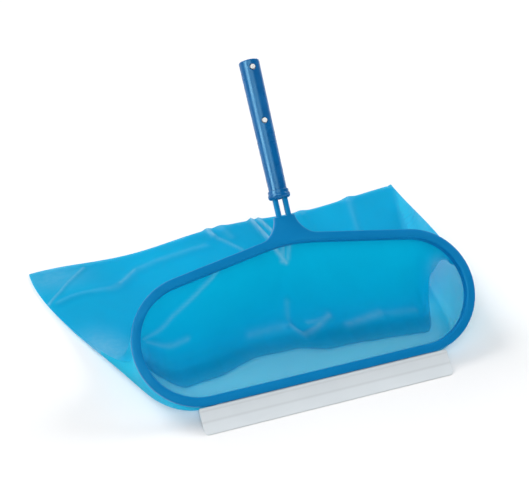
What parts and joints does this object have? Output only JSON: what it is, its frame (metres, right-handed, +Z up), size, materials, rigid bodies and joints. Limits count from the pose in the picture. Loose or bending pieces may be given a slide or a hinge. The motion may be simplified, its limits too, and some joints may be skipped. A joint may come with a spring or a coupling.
{
  "type": "leaf skimmer net",
  "caption": "Leaf skimmer net: oval hoop with a fine mesh bag, a scraper blade along its lower edge, and a tubular handle with sprung buttons that lock it into a pool pole.",
  "frame": {"origin": "middle of the base of the whole net as it stands on a flat deck", "axes": "+X along the width of the hoop, to the right as seen from in front of its open mouth; +Y from the mouth back into the bag; +Z up"},
  "size_m": [0.658, 0.4672, 0.3578],
  "materials": {
    "frame_plastic": "satin moulded blue polypropylene",
    "ring_plastic": "satin moulded blue polypropylene",
    "handle_plastic": "glossy moulded blue plastic",
    "blade_plastic": "semi-soft white plastic",
    "bag_mesh": "fine woven light blue mesh",
    "hem_cord": "braided white cord",
    "button_nylon": "white nylon",
    "spring_steel": "stainless spring strip",
    "screw_steel": "stainless screws"
  },
  "bodies": {
    "skimmer": {"handle_tube": "handle_plastic", "handle_screw": "screw_steel", "upper_clip_bend": "spring_steel", "lower_clip_bend": "spring_steel", "front_frame": "frame_plastic", "clamp_ring": "ring_plastic", "hem_cord": "hem_cord", "scraper_blade": "blade_plastic", "ring_screw_1": "screw_steel", "ring_screw_2": "screw_steel", "ring_screw_3": "screw_steel", "ring_screw_4": "screw_steel", "ring_screw_5": "screw_steel", "ring_screw_6": "screw_steel", "ring_screw_7": "screw_steel", "ring_screw_8": "screw_steel", "ring_screw_9": "screw_steel", "ring_screw_10": "screw_steel", "ring_screw_11": "screw_steel", "ring_screw_12": "screw_steel", "bag_top_panel": "bag_mesh", "bag_bottom_panel": "bag_mesh"},
    "upper_front_arm": {"upper_clip_front_leaf": "spring_steel", "upper_clip_front_button": "button_nylon"},
    "upper_rear_arm": {"upper_clip_rear_leaf": "spring_steel", "upper_clip_rear_button": "button_nylon"},
    "lower_front_arm": {"lower_clip_front_leaf": "spring_steel", "lower_clip_front_button": "button_nylon"},
    "lower_rear_arm": {"lower_clip_rear_leaf": "spring_steel", "lower_clip_rear_button": "button_nylon"}
  },
  "joints": [
    {"name": "upper_front_button_press", "type": "hinge", "parent": "skimmer", "child": "upper_front_arm", "pos_m": [0.03399, 0.10437, 0.30312], "axis": [-1, 0, 0], "range_deg": [0, 3], "stiffness_Nm_per_rad": 6},
    {"name": "upper_rear_button_press", "type": "hinge", "parent": "skimmer", "child": "upper_rear_arm", "pos_m": [0.03399, 0.10437, 0.30312], "axis": [1, 0, 0], "range_deg": [0, 3], "stiffness_Nm_per_rad": 6},
    {"name": "lower_front_button_press", "type": "hinge", "parent": "skimmer", "child": "lower_front_arm", "pos_m": [0.03399, 0.04857, 0.24441], "axis": [-1, 0, 0], "range_deg": [0, 3], "stiffness_Nm_per_rad": 6},
    {"name": "lower_rear_button_press", "type": "hinge", "parent": "skimmer", "child": "lower_rear_arm", "pos_m": [0.03399, 0.04857, 0.24441], "axis": [1, 0, 0], "range_deg": [0, 3], "stiffness_Nm_per_rad": 6}
  ]
}
